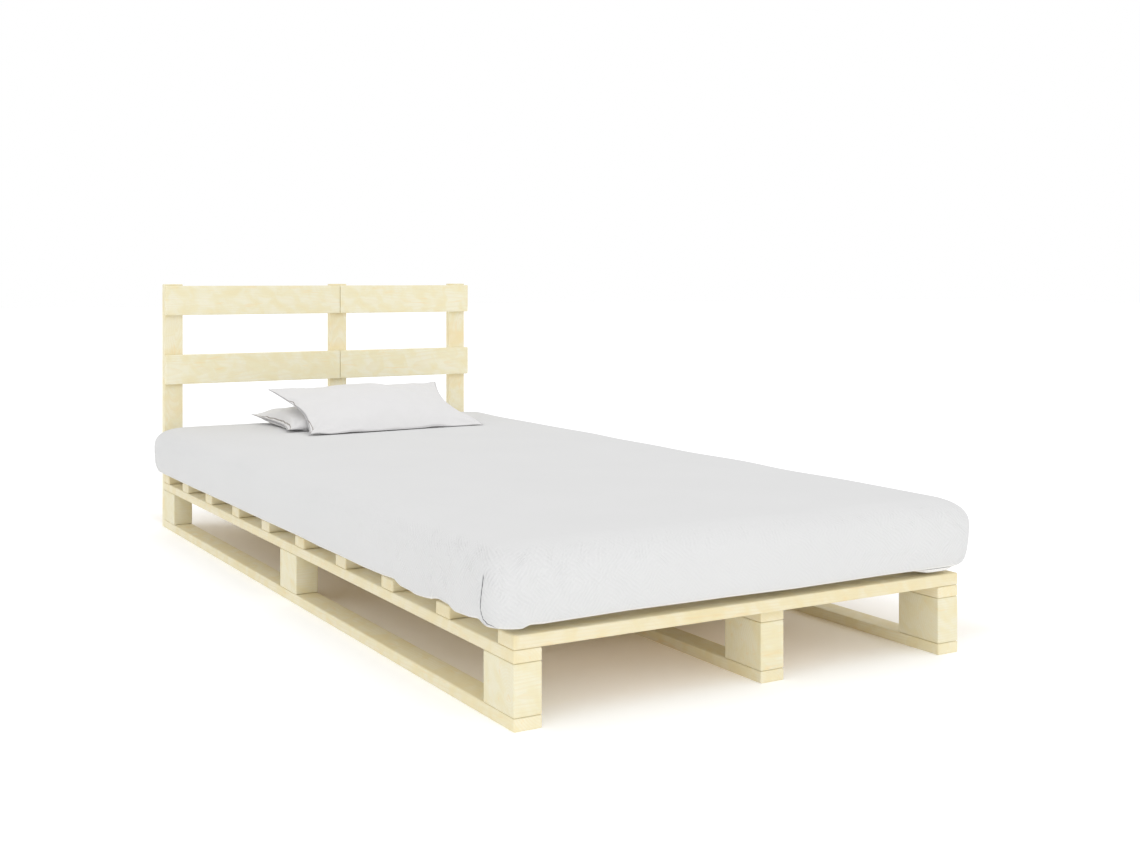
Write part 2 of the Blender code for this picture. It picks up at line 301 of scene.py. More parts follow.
def pineMaterial(node, grain, thinAxis, tone, warmth, seed):
    rng = np.random.default_rng(seed)
    material, add, shader = newMaterial("pine_" + node, pine["roughness"], pine["specular"])

    # the grain turned along X, and the pith line beside the board, tilted a little so that the
    # rings leave the face in long arches
    low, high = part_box(node)
    tilt = rng.choice([-1, 1]) * pine["pithTilt"] * rng.uniform(0.6, 1.4)
    if grain == "z":
        tilt *= pine["postTilt"]
    turn = Matrix.Rotation(tilt, 3, "Z") @ Matrix.Rotation(tilt * rng.uniform(-0.3, 0.3), 3, "Y")
    turn = turn @ eulerMatrix(grainTurns[grain])
    centre = turn @ ((low + high) / 2)
    towardsPith = turn @ Vector([1.0 if a == thinAxis else 0.0 for a in "xyz"])
    away = rng.uniform(*pine["pithDistance"]) * rng.choice([-1, 1])
    target = Vector((rng.uniform(-2, 2), 0, 0)) + towardsPith * away
    target += Vector((0, rng.uniform(-1, 1), rng.uniform(-1, 1))) * pine["pithSlack"]
    board = add("Mapping", {
        "Vector": add("TexCoord").outputs["Object"],
        "Rotation": turn.to_euler(), "Location": target - centre})
    noises = {name: add("TexNoise", {
        "Vector": add("Mapping", {"Vector": board, "Scale": (share, 1, 1)}),
        "Scale": scale, "Detail": detail, "Roughness": roughness, "Distortion": distortion})
        for name, (share, scale, detail, roughness, distortion) in pine["noises"].items()}

    # rings: the distance from the pith line, bent by a noise, counted in ring spacings. Late
    # wood fills the last part of each ring, and fades along the grain
    parts = add("SeparateXYZ", [board])
    flat = add("CombineXYZ", {"Y": parts.outputs["Y"], "Z": parts.outputs["Z"]})
    radius = add("VectorMath", [flat], "LENGTH")
    bent = add("Math", [noises["wander"], pine["ringWander"] * 4, radius], "MULTIPLY_ADD")
    ring = add("Math", [bent, 1 / pine["ringSpacing"]], "MULTIPLY")
    inRing = add("Math", [ring], "FRACT")
    late = add("MapRange", [inRing, *pine["lateWood"]], "SMOOTHSTEP")
    lateShare = add("Math", [late, noises["fade"]], "MULTIPLY", use_clamp=True)

    slanted = add("Mapping", {"Vector": board, "Rotation": pine["figureSlant"]})
    figure = add("TexNoise", {
        "Vector": add("Mapping", {"Vector": slanted, "Scale": pine["figureStretch"]}),
        "Scale": 1 / pine["figureSize"], "Detail": 2.0, "Roughness": 0.5, "Distortion": 0.6})

    # colours laid over the ground: what places one, where that starts and is full, how strong
    # it gets, the curve between, and the colour
    layers = [(figure, 0.28, 0.60, 1.0, "LINEAR", "early"),
              (figure, 0.46, 0.76, 1.0, "LINEAR", "cloud"),
              (lateShare, 0.0, 1.0, 1.0, "LINEAR", "late"),
              (noises["flecks"], 0.58, 0.78, 0.55, "SMOOTHSTEP", "streak")]
    if grain == "z":
        # posts: slightly bowed warm bands, where the cut crosses the rings
        bands = add("TexNoise", {
            "Vector": add("Mapping", {"Vector": board, "Scale": pine["bandStretch"]}),
            "Scale": 1 / pine["bandGap"], "Detail": 1.5, "Roughness": 0.6, "Distortion": 0.25})
        layers.append((bands, 0.50, 0.66, 0.40, "SMOOTHSTEP", "streak"))
    colour = warmed(pine["shade"], warmth)
    for cause, start, full, most, curve, over in layers:
        share = add("MapRange", [cause, start, full, 0.0, most], curve)
        colour = add("Mix", {0: share, 6: colour, 7: warmed(pine[over], warmth)}, "RGBA")
    least, most = pine["fibreTone"]
    fine = add("MapRange", [noises["fibres"], 0.3, 0.7, tone + least, tone + most])
    toned = add("VectorMath", {0: colour, "Scale": fine}, "SCALE")
    height = add("Math", [noises["fibres"], 0.6, lateShare], "MULTIPLY_ADD")
    finishSurface(add, shader, toned, height, 0.5, pine["relief"])
    return material


timber = {    # start of a node's name: the grain's axis, the thin axis, tone with painted light, warmth
    "bottom_rail": ("y", "z", 1.0, 0.5),
    "top_rail": ("y", "z", 1.0, 0.8),
    "block": ("x", "y", 0.975, 0.0),
    "slat": ("x", "z", 0.97, 0.95),
    # painted light: the headboard's posts and planks are painted lighter, against the shade of the
    # mattress and pillows in front of them
    "headboard_post": ("z", "y", 1.025, 0.15),
    "headboard_plank": ("x", "y", 1.035, -0.15),
}


def finishTimber():
    seed = 0
    for name in sorted(nodes):
        for start, (grain, thin, toneWithPaintedLight, warmth) in timber.items():
            if name.startswith(start):
                seed += 1
                tone = toneWithPaintedLight * (1.0 + 0.012 * math.sin(seed * 2.4))
                mesh = nodes[name].data
                mesh.materials.clear()
                mesh.materials.append(pineMaterial(name, grain, thin, tone, warmth, seed))
    print("timber finished:", seed, "boards")


# Wood screws: zinc-plated steel, countersunk, with a cross recess. A plain neck under the head,
# then a rolled thread to the point

screw = {
    "columns": 32,
    "rowsPerTurn": 8,
    "shankShare": {"long": 0.0025 / 0.0048, "short": 0.5},    # radius, by the head's radius
    "longFrom": 0.05,            # a longer screw than this is a long one
    "pitchShare": 1.15,          # thread pitch, by the shank's radius
    "coreShare": 0.66,           # radius between the threads
    "neckShare": 0.80,
    "neckLength": 0.30,          # as a share of the screw's length
    "pointLength": 2.6,          # by the shank's radius
    "recess": (0.16, 0.62, 0.60),    # the cross: half width and reach by the head's radius, and
                                     # depth by the head's height
    "colours": ("#B4B1A4", "#D3D1C6"),
    "spangle": 900.0,            # scale of the plating's mottle
}


def screwShape(length, radius, headRadius):
    # a profile turned about its axis: from the middle of the drive face over its rim, down the
    # cone and along the shank to the point. The radius there swells to the thread's crest
    # wherever the height in pitches, less the turn, is near a whole number
    turn = np.arange(screw["columns"]) / screw["columns"] * math.tau
    headHeight = headRadius - radius
    across = np.linspace(0, 0.97, 15)[1:] * headRadius
    pitch = screw["pitchShare"] * radius
    along = np.linspace(headHeight * 1.1, length, int(length / pitch * screw["rowsPerTurn"]))[:-1]
    profileRadius = np.concatenate([across, [headRadius] * 2, np.full(len(along), np.nan)])
    profileDepth = np.concatenate([0 * across, [0.04 * headHeight, 0.16 * headHeight], along])
    phase = (along[:, None] / pitch - turn / math.tau) % 1
    crest = np.clip(1 - np.abs(2 * phase - 1) * 1.7, 0, 1)
    core = screw["coreShare"]
    neckEnd = length * screw["neckLength"]
    threaded = smoothStep(neckEnd, neckEnd + pitch, along)[:, None]
    neck = (1 - threaded) * (screw["neckShare"] - core)
    taper = np.clip((length - along) / (screw["pointLength"] * radius), 0, 1)[:, None] ** 0.8
    r = np.broadcast_to(profileRadius[:, None], (len(profileRadius), len(turn))).copy()
    r[-len(along):] = radius * taper * (core + neck + (1 - core) * crest * threaded)
    x, y = r * np.cos(turn), r * np.sin(turn)
    width, reach, depth = screw["recess"]
    sides = np.abs([x, y]) / headRadius
    cross = smoothStep(width * 1.25, width * 0.75, sides.min(0)) \
        * smoothStep(reach, reach * 0.85, sides.max(0))
    z = profileDepth[:, None] + cross * depth * headHeight * (profileDepth[:, None] == 0)
    rows, columns = r.shape
    poles = [[0, 0, depth * headHeight], [0, 0, length]]
    points = np.concatenate([np.stack([x, y, z], -1).reshape(-1, 3), poles])

    # poles are closed by quads that each take two steps of the ring
    start = np.arange(0, columns, 2)
    end = (start + 2) % columns
    pole = np.full_like(start, rows * columns)
    first = np.stack([pole, end, start + 1, start], -1)
    last = np.stack([pole + 1, start, start + 1, end], -1)
    last[:, 1:] += (rows - 1) * columns
    return points, np.concatenate([ringFaces(rows, columns), first, last])


def zincMaterial():
    # bright zinc plating on steel: satin, a little mottled
    material, add, shader = newMaterial("zinc_plated_steel", 0.36, 0.5, 1.0)
    coords = add("TexCoord").outputs["Object"]
    spangle = add("TexNoise", {"Vector": coords, "Scale": screw["spangle"], "Detail": 2.0})
    dull, bright = screw["colours"]
    tone = add("Mix", {0: spangle, 6: linear(dull), 7: linear(bright)}, "RGBA")
    finishSurface(add, shader, tone, spangle, 0.3, 0.0001)
    return material


def buildScrews():
    material = zincMaterial()
    names = sorted(name for name in nodes if "_screw_" in name)
    for name in names:
        low, high = (np.array(corner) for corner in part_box(name))
        size, middle = high - low, (low + high) / 2
        upright = size[2] > size[1]
        length, headRadius = max(size[1:]), size[0] / 2
        kind = "long" if length > screw["longFrom"] else "short"
        points, faces = screwShape(length, headRadius * screw["shankShare"][kind], headRadius)
        if upright:
            points += [middle[0], middle[1], low[2]]
        else:
            # turned a quarter about X, so that the head looks backwards
            points = points[:, [0, 2, 1]] * [1, -1, 1] + [middle[0], high[1], middle[2]]
        piece = addPiece("threaded_" + name, points, faces, material)
        piece.data.set_sharp_from_angle(angle=math.radians(40))
        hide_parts(name)
    print("screws:", len(names))


# Fitted sheet and mattress: a soft slab of foam under a tight white cotton sheet

slab = {
    "box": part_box("mattress"),
    "cornerRadius": 0.045,
    "widestShare": 0.60,         # height of the widest line
    "upperDraw": 0.080,          # how far the side comes in to the top's edge
    "upperPower": 2.6,
    "crown": 0.004,
    # the side below the widest line: how far it comes in, and its height over the slats
    "lowerSide": ((0.0, 0.0819), (0.0008, 0.060), (0.0022, 0.043), (0.0042, 0.031),
                  (0.0072, 0.0205), (0.0122, 0.0132), (0.020, 0.0122), (0.035, 0.0128),
                  (0.048, 0.0126), (0.060, 0.0098), (0.076, 0.0040), (0.094, 0.0)),
    # soft unevenness: wavelength, seed and height of the sides' and of the whole slab's
    "sideNoise": (0.22, 5, 0.0008),
    "wholeNoise": (0.40, 6, 0.0006),
}

sheet = {
    "hem": 0.084,                # how far it reaches under the mattress
    "inset": 0.0,
    "columnGap": 0.0082,
    "rowGap": 0.0058,
    "cornerColumns": 18,
    "seamColumns": 12,           # close columns beside each corner, for its seam,
    "seamReach": 0.036,          # and how far they reach
}

ticking = {
    "hem": 0.0,
    "inset": 0.0028,             # how far the foam lies inside the sheet
    "columnGap": 0.009,
    "rowGap": 0.012,
    "cornerColumns": 6,
    "seamColumns": 0,
    "seamReach": 0.0,
    "stripe": 12.0,
    "colours": ("#E4E1DA", "#DAD6CC"),
}


def slabPlan():
    # middle and half sizes of the mattress's box, seen from above
    low, high = (np.array(corner.xy) for corner in slab["box"])
    return (low + high) / 2, (high - low) / 2


def profileLine(cover):
    # the slab's section from the hem round the side to the edge of the top: how far each point
    # is drawn in from the widest line, its height, and its way up the cloth. The upper part is
    # a quarter of a superellipse
    low, high = slab["box"]
    widest = low.z + (high.z - low.z) * slab["widestShare"]
    lower = np.array(slab["lowerSide"])[::-1]
    turn = np.linspace(0, math.pi / 2, 60)
    rise = (high.z - slab["crown"] - widest) * np.sin(turn) ** (2 / slab["upperPower"])
    upper = slab["upperDraw"] * (1 - np.cos(turn) ** (2 / slab["upperPower"]))
    draw = np.concatenate([[lower[0, 0] + cover["hem"]], lower[:-1, 0], upper])
    height = np.concatenate([[low.z], low.z + lower[:-1, 1], widest + rise])
    along = np.concatenate([[0], np.cumsum(np.hypot(np.diff(draw), np.diff(height)))])
    close = np.linspace(0, along[-1], 400)
    draw, height = np.interp(close, along, draw), np.interp(close, along, height)
    soft = np.hanning(19) / np.hanning(19).sum()
    for line in (draw, height):
        line[9:-9] = np.convolve(line, soft, "valid")
    tangent = np.stack([np.gradient(draw, close), np.gradient(height, close)], -1)
    tangent /= np.linalg.norm(tangent, axis=1)[:, None]
    draw += cover["inset"] * tangent[:, 1]
    height -= cover["inset"] * tangent[:, 0]
    even = np.linspace(0, along[-1], int(round(along[-1] / cover["rowGap"])) + 1)
    return np.interp(even, close, draw), np.interp(even, close, height), even


def sideShares(length, gap, close, reach):
    # shares along a straight side, with close columns near both ends
    if not close:
        return np.linspace(0, 1, int(round(length / gap)) + 1)
    start = np.linspace(0, reach, close + 1)
    middle = np.linspace(reach, length - reach, int(round((length - 2 * reach) / gap)) + 1)
    return np.concatenate([start[:-1], middle, length - start[:-1][::-1]]) / length


def outlines(cover, draws):
    # rounded rectangles drawn in from the widest line, one for each row: an array of rows by
    # columns by (x, y), counter-clockwise from the middle of the foot's left corner. Also
    # returns how many points the short and the long sides take
    centre, (fullX, fullY) = slabPlan()
    halfX, halfY = fullX - draws, fullY - draws
    radius = slab["cornerRadius"] * halfX / fullX
    corner = cover["cornerColumns"]
    sides = [sideShares(2 * (full - slab["cornerRadius"]), cover["columnGap"], close,
                        cover["seamReach"])[1:-1]
             for full, close in ((fullX, 0), (fullY, cover["seamColumns"]))]
    arcs = []
    for signX, signY, start in ((-1, -1, 180), (1, -1, 270), (1, 1, 0), (-1, 1, 90)):
        angle = np.radians(start + np.linspace(0, 90, corner + 1))
        arcs.append(np.stack([
            signX * (halfX - radius)[:, None] + radius[:, None] * np.cos(angle),
            signY * (halfY - radius)[:, None] + radius[:, None] * np.sin(angle)], -1))
    parts = []
    for index, arc in enumerate(arcs):
        end, ahead = arc[:, -1:], arcs[(index + 1) % 4][:, :1]
        parts += [arc, end + (ahead - end) * sides[index % 2][None, :, None]]
    ring = np.roll(np.concatenate(parts, axis=1), -((corner + 1) // 2), axis=1)
    return ring + centre, [corner + 1 + len(side) for side in sides]


def filledOutline(rim, numbers, start, counts):
    # a grid inside a closed outline: each point blends the four sides, less the corners. Its
    # border takes the outline's own point numbers and the inside counts on from start. Returns
    # the places, the numbers, and which are inside
    ends = np.cumsum([0, *counts, *counts])

    def fourSides(line):
        line = np.concatenate([line, line[:1]])
        a, b, c, d = (line[i:j + 1] for i, j in zip(ends, ends[1:]))
        return a, b, c[::-1], d[::-1]

    a, b, c, d = fourSides(rim)
    s = np.linspace(0, 1, counts[0] + 1)[:, None, None]
    t = np.linspace(0, 1, counts[1] + 1)[None, :, None]
    grid = (1 - t) * a[:, None] + t * c[:, None] + (1 - s) * d[None] + s * b[None]
    grid -= (1 - s) * ((1 - t) * a[0] + t * c[0]) + s * ((1 - t) * a[-1] + t * c[-1])
    ids = np.full(grid.shape[:2], -1)
    ids[:, 0], ids[-1], ids[:, -1], ids[0] = fourSides(numbers)
    inside = ids < 0
    ids[inside] = start + np.arange(inside.sum())
    return grid, ids, inside


def slabSurface(cover):
    # rings from the hem to the edge of the top, then the filled top, which rises a little to its
    # middle. Returns points, faces, how many rings there are of how many points, how many of
    # these the sides take, and how far up the cloth each ring is
    draws, heights, climb = profileLine(cover)
    rings, counts = outlines(cover, draws)
    rows, columns = rings.shape[:2]
    levels = np.broadcast_to(heights[:, None, None], (rows, columns, 1))
    lastRing = (rows - 1) * columns + np.arange(columns)
    flat, ids, inside = filledOutline(rings[-1], lastRing, rows * columns, counts)
    centre, half = slabPlan()
    share = (np.abs((flat - centre) / (half - draws[-1])) ** 4).sum(-1) ** 0.25
    crown = slab["crown"] * (1 - np.clip(share, 0, 1) ** 2)
    top = np.concatenate([flat, (heights[-1] + crown)[..., None]], -1)
    points = np.concatenate([np.concatenate([rings, levels], -1).reshape(-1, 3), top[inside]])
    faces = np.concatenate([ringFaces(rows, columns), gridFaces(ids)])
    return points, faces, (rows, columns), counts, climb


droop = {
    "middle": 0.0035,            # sag of the resting face between the slats
    # the long sides' lower edge: place along the bed, and how far it lies over its mean height.
    # It is nearly straight at the head and hangs in waves between the slats at the foot
    "sideLine": ((-0.945, 0.0028), (-0.933, 0.0019), (-0.910, -0.0011), (-0.883, -0.0022),
                 (-0.858, -0.0034), (-0.838, 0.0032), (-0.800, 0.0050), (-0.775, 0.0014),
                 (-0.760, -0.0021), (-0.735, -0.0041), (-0.710, -0.0054), (-0.690, -0.0034),
                 (-0.647, -0.0029), (-0.626, 0.0042), (-0.600, 0.0034), (-0.580, 0.0019),
                 (-0.530, 0.0009), (-0.485, 0.0002), (-0.360, 0.0010), (-0.265, 0.0002),
                 (-0.140, 0.0019), (0.050, 0.0010), (0.300, 0.0014), (0.600, 0.0006),
                 (0.950, 0.0010)),
    # the foot's lower edge: place across the bed, and how far it lies over its mean height
    "footLine": ((-0.50, -0.004), (-0.463, -0.0035), (-0.438, -0.0038), (-0.424, 0.0008),
                 (-0.40, -0.0005), (-0.25, 0.0015), (-0.05, 0.0005), (0.08, -0.001),
                 (0.28, 0.0005), (0.40, 0.0), (0.50, 0.0)),
}


def pressedShape(points):
    # points moved up or down: the lower edge wavers along the sides and the foot, and the
    # resting face sags a little between the slats
    low, high = slab["box"]
    widest = low.z + (high.z - low.z) * slab["widestShare"]
    x, y, z = points.T
    slats = sorted((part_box(n)[0].y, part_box(n)[1].y) for n in nodes if n.startswith("slat_"))
    footSlat = slats[0][0]
    between = np.zeros_like(y)
    for (_, start), (end, _) in zip(slats, slats[1:]):
        across = np.clip((y - start) / (end - start), 0, 1)
        between = np.maximum(between, np.sin(math.pi * across) ** 0.55)
    deckLeft, deckRight = (corner.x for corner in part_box("slat_01"))
    beyond = np.abs(x - (deckLeft + deckRight) / 2) - (deckRight - deckLeft) / 2
    lowness = smoothStep(widest, low.z + 0.012, z)
    edge = smoothStep(-0.050, -0.004, beyond)
    pastSeam = smoothStep(footSlat + 0.048, footSlat + 0.062, y)
    side = edge * pastSeam * np.interp(y, *np.array(droop["sideLine"]).T)
    atFoot = smoothStep(footSlat + 0.06, footSlat + 0.03, y)
    overSlat = smoothStep(low.z + 0.001, low.z + 0.006, z)
    foot = atFoot * overSlat * np.interp(x, *np.array(droop["footLine"]).T)
    moved = points.copy()
    moved[:, 2] += lowness * (side + foot - between * (1 - edge) * droop["middle"])
    return moved


def unevenness(points):
    # soft unevenness of foam and cloth, outwards in metres: most on the sides, none underneath
    low, high = slab["box"]
    z = points[:, 2]
    side = smoothStep(low.z + 0.012, low.z + 0.045, z) * smoothStep(high.z, high.z - 0.03, z)
    over = smoothStep(low.z + 0.03, low.z + 0.06, z)
    swell = np.zeros_like(z)
    for share, noise in ((side, "sideNoise"), (over, "wholeNoise")):
        wavelength, seed, height = slab[noise]
        swell += softNoise(points, wavelength, seed) * height * share
    return swell


def addSheetUVs(mesh, points, shape, climb, faces):
    # cloth coordinates in metres: "cloth" lies flat over the top and runs on down the sides,
    # "edge" counts metres round the slab and metres up the cloth
    rows, columns = shape
    rings = points[:rows * columns].reshape(rows, columns, 3)
    rim = rings[-1, :, :2]
    tangent = np.roll(rim, -1, axis=0) - np.roll(rim, 1, axis=0)
    outward = np.stack([tangent[:, 1], -tangent[:, 0]], -1)
    outward /= np.linalg.norm(outward, axis=1)[:, None]
    cloth = points[:, :2].copy()
    below = (climb[-1] - climb)[:, None, None]
    cloth[:rows * columns] = (rim[None] + outward[None] * below).reshape(-1, 2)
    widest = rings[rows // 2, :, :2]
    step = np.linalg.norm(np.roll(widest, -1, axis=0) - widest, axis=1)
    around = np.concatenate([[0], np.cumsum(step)])
    sideFaces = (rows - 1) * columns
    corner = faces[:sideFaces]
    column = corner % columns
    wrapped = np.where((column == 0) & (column[:, :1] == columns - 1), columns, column)
    edge = np.zeros((len(faces), 4, 2))
    edge[:sideFaces, :, 0] = around[wrapped]
    edge[:sideFaces, :, 1] = climb[corner // columns]
    edge[sideFaces:] = points[faces[sideFaces:], :2]
    for name, data in (("cloth", cloth[faces]), ("edge", edge)):
        layer = mesh.uv_layers.new(name=name)
        layer.data.foreach_set("uv", data.astype(np.float32).ravel())


def addShares(mesh, shares):
    # shares that the materials read, one value for each point
    for name, values in shares.items():
        layer = mesh.attributes.new(name, "FLOAT", "POINT")
        layer.data.foreach_set("value", values.astype(np.float32))


def gridNormals(points, faces):
    # unit normal of each point: the sum of its faces' own, larger faces counting more
    a, b, c, d = (points[faces[:, i]] for i in range(4))
    face = np.cross(c - a, d - b)
    normals = np.zeros_like(points)
    for i in range(4):
        np.add.at(normals, faces[:, i], face)
    return normals / np.linalg.norm(normals, axis=1)[:, None]


seam = {
    # the corner seam's line on a long side: height, and distance from the mattress's end
    "path": ((0.1570, 0.0290), (0.1595, 0.0340), (0.1620, 0.0396), (0.1668, 0.0470),
             (0.1729, 0.0520), (0.1831, 0.0534), (0.1976, 0.0491), (0.2157, 0.0424),
             (0.2300, 0.0386)),
    "width": 0.0011,             # half width of its line of painted shade
    "lip": (0.0055, 0.004, 0.0008),      # the cloth beside it: place, width and height
    "groove": (0.0025, 0.0012),          # width and depth
    "pucker": (0.025, 0.013, 0.00010),   # reach, spacing and height
    "tuck": (0.335, 0.450),      # where the foot's lower edge shows a fold of the hem
    "tuckDepth": 0.006,
    "crease": (0.0150, 0.0016),  # the crease over that fold, painted dark as its shade: distance in, half width
}


def buildSheet():
    points, faces, shape, _, climb = slabSurface(sheet)
    flatPoints = points.copy()
    points = pressedShape(points)
    normals = gridNormals(points, faces)
    low, high = slab["box"]
    swell = unevenness(flatPoints)
    x, y, z = flatPoints.T

    # corner seams on the long sides: a fold, painted dark as shade, from the widest line down to
    # the lower edge, as a signed distance across the cloth
    fromEnd = np.minimum(y - low.y, high.y - y)
    nearSide = np.minimum(x - low.x, high.x - x)
    path = np.array(seam["path"])
    slope = np.interp(z, path[:, 0], np.gradient(path[:, 1], path[:, 0]))
    across = (fromEnd - np.interp(z, path[:, 0], path[:, 1])) / np.sqrt(1 + slope ** 2)
    reach = smoothStep(0.2310, 0.2285, z) * smoothStep(0.1575, 0.1590, z) \
        * smoothStep(0.028, 0.020, nearSide)
    place, width, height = seam["lip"]
    swell += bell(across - place, width) * reach * height
    width, height = seam["groove"]
    swell -= bell(across, width) * reach * height
    width, spacing, height = seam["pucker"]
    pucker = np.exp(-np.abs(across) / width) * reach * smoothStep(0.001, 0.006, np.abs(across))
    swell += pucker * height * np.cos(z / spacing * math.tau + across / 0.012)

    # the fold of the hem at the foot's right end: the face under the edge comes forward and rests
    # on the first slat, below a crease painted dark as shade
    start, end = seam["tuck"]
    along = smoothStep(start, start + 0.05, x) * smoothStep(end, end - 0.03, x)
    drawn = y - low.y
    atFoot = (z < low.z + 0.03) & (drawn < 0.09)
    tuck = along * smoothStep(0.015, 0.024, drawn) * smoothStep(0.075, 0.045, drawn) * atFoot
    points[:, 1] -= tuck * seam["tuckDepth"]
    points[:, 2] -= tuck * np.clip(points[:, 2] - low.z - 0.0004, 0, seam["tuckDepth"])
    points += normals * swell[:, None]

    piece = addPiece("fitted_sheet", points, faces, sheetMaterial())
    addSheetUVs(piece.data, flatPoints, shape, climb, faces)
    offTop = smoothStep(high.z - 0.0045, high.z - 0.016, z)
    onLongSide = smoothStep(0.03, 0.0, nearSide)
    tension = 0.22 + 0.78 * bell(np.hypot(nearSide, fromEnd), 0.30 + 0.14 * onLongSide)
    addShares(piece.data, {
        "edgeBand": smoothStep(high.z - 0.060, high.z - 0.020, z) * offTop,
        "tension": tension * (1 + 0.4 * onLongSide) * offTop,
        "seamAcross": across,
        "seamReach": reach,
        # painted light: the lowest band of the sheet, in shade under its rounding, is painted
        # bright
        "hem": smoothStep(low.z + 0.0185, low.z + 0.0120, z),
        "creaseAcross": drawn - seam["crease"][0],
        "creaseReach": along * atFoot})
    print("sheet:", len(points), "points")
    return piece


cotton = {
    "sheetColours": ("#D8D8D8", "#DCDCDC"),
    "caseColours": ("#DEDDDD", "#E3E2E2"),
    # painted shade in the dark seam, stitch and fold colours, painted light in the bright hem
    # colour
    "sheetSeamShade": "#6A6A6E",
    "caseSeamShade": "#969496",
    "hemFoldShade": "#938C87",
    "hemPaintedLight": "#F6F5F3",
    "crinkle": 0.0058,           # spacing of the crinkles
    "crinkleTurns": (52, -38),   # their two directions, in degrees
    "edgeRipple": 0.0074,        # spacing of the fine gathers over the top edge
    "rippleShare": 0.60,         # their height, by the crinkles'
    "relief": 0.00034,           # height of the crinkles
    "reliefLightAndShade": (0.030, 1.004),    # painted light and shade: how much lighter a ridge is painted and darker a hollow, and the tone between
    "thread": 0.0014,            # real thread spacing is 0.4 mm, drawn coarser so that it shows
    "threadShare": 0.14,
    "caseCreases": 26.0,
    "specular": 0.3,
    "sheen": 0.12,
    "sheenRoughness": 0.5,
}


def clothMaterial(name, roughness, shareNames):
    # a matt cotton with a little sheen. Also returns the shares that its meshes keep
    material, add, shader = newMaterial(name, roughness, cotton["specular"])
    setInputs(shader, {"Sheen Weight": cotton["sheen"],
                       "Sheen Roughness": cotton["sheenRoughness"]})
    shares = {n: add("Attribute", attribute_name=n).outputs["Fac"] for n in shareNames}
    return material, add, shader, shares


def weaveHeight(add, vector, spacing):
    # plain weave: threads one way and the other, taking turns on top
    parts = add("SeparateXYZ", [vector])
    waves = []
    for axis in ("X", "Y"):
        turn = add("Math", [parts.outputs[axis], math.pi / spacing], "MULTIPLY")
        waves.append(add("Math", [turn], "SINE"))
    return add("Math", waves, "MULTIPLY")


def shadeLine(add, across, reach, width):
    # a soft line of painted shade where a signed distance passes through nought
    off = add("Math", [across], "ABSOLUTE")
    share = add("MapRange", [off, width * 0.5, width * 1.4, 1.0, 0.0], "SMOOTHSTEP")
    return add("Math", [share, reach], "MULTIPLY")


def sheetMaterial():
    # white crinkle-woven cotton: matt, a little sheen, fine crinkles and gathers over the edge
    material, add, shader, shares = clothMaterial("white_crinkle_cotton", 0.85, (
        "edgeBand", "tension", "hem", "seamAcross", "seamReach", "creaseAcross", "creaseReach"))
    flat = add("UVMap", uv_map="cloth")
    edge = add("UVMap", uv_map="edge")

    def ridges(vector, angle, spacing, wander):
        # sine of the distance along a direction, with its phase bent by a noise
        angle = math.radians(angle)
        distance = add("VectorMath", [
            vector, (math.cos(angle), math.sin(angle), 0)], "DOT_PRODUCT")
        phase = add("Math", [distance, math.tau / spacing, wander], "MULTIPLY_ADD")
        return add("Math", [phase], "SINE")

    def cloud(vector, size, low, high):
        # a soft noise with patches of the given size, spread to run from low to high
        patches = add("TexNoise", {"Vector": vector, "Scale": 1 / size, "Detail": 1.0})
        return add("MapRange", [patches, 0.35, 0.65, low, high], clamp=False)

    # crinkles: fine slanting ridges one way or the other, patch by patch
    wander = cloud(edge, 0.030, -2.2, 2.2)
    oneWay, otherWay = (ridges(edge, angle, cotton["crinkle"], wander)
                        for angle in cotton["crinkleTurns"])
    whichWay = add("Clamp", [cloud(edge, 0.045, -0.3, 1.3)])
    chevrons = add("Mix", {0: whichWay, 2: oneWay, 3: otherWay})
    patchy = add("Clamp", [cloud(edge, 0.024, 0.35, 0.9)])
    strength = add("Math", [patchy, shares["tension"]], "MULTIPLY")
    crinkle = add("Math", [chevrons, strength], "MULTIPLY")

    # gathers: short upright ridges over the edge of the top
    upright = add("Mapping", {"Vector": edge, "Scale": (1, 0.35, 1)})
    gathers = ridges(edge, 0, cotton["edgeRipple"], cloud(upright, 0.030, -1.8, 1.8))
    dashes = add("Clamp", [cloud(upright, 0.014, -0.5, 1.1)])
    dashShare = add("Math", [dashes, shares["edgeBand"]], "MULTIPLY")
    ripple = add("Math", [gathers, dashShare], "MULTIPLY")
    relief = add("Math", [ripple, cotton["rippleShare"], crinkle], "MULTIPLY_ADD")
    weave = weaveHeight(add, flat, cotton["thread"])
    height = add("Math", [weave, cotton["threadShare"], relief], "MULTIPLY_ADD")

    # painted light and shade: the hollows between the ridges are painted darker and the ridges
    # lighter, the hem underneath is painted bright against its shade, and the seam's fold and the
    # crease get painted shade
    patch = add("TexNoise", {"Vector": flat, "Scale": 5.0, "Detail": 2.0})
    shade, light = cotton["sheetColours"]
    ground = add("Mix", {0: patch, 6: linear(shade), 7: linear(light)}, "RGBA")
    hemLightened = add("Mix", {0: shares["hem"], 6: ground, 7: linear(cotton["hemPaintedLight"])}, "RGBA")
    ridgeLight, even = cotton["reliefLightAndShade"]
    tone = add("Math", [relief, ridgeLight, even], "MULTIPLY_ADD")
    toned = add("VectorMath", {0: hemLightened, "Scale": tone}, "SCALE")
    # painted shade along the seam's fold and under the crease over the hem's fold
    lines = [shadeLine(add, shares[name + "Across"], shares[name + "Reach"], width)
             for name, width in (("seam", seam["width"]), ("crease", seam["crease"][1]))]
    paintedShade = add("Math", lines, "MAXIMUM")
    seamShaded = add("Mix", {0: paintedShade, 6: toned, 7: linear(cotton["sheetSeamShade"])}, "RGBA")
    finishSurface(add, shader, seamShaded, height, 1.0, cotton["relief"])
    return material


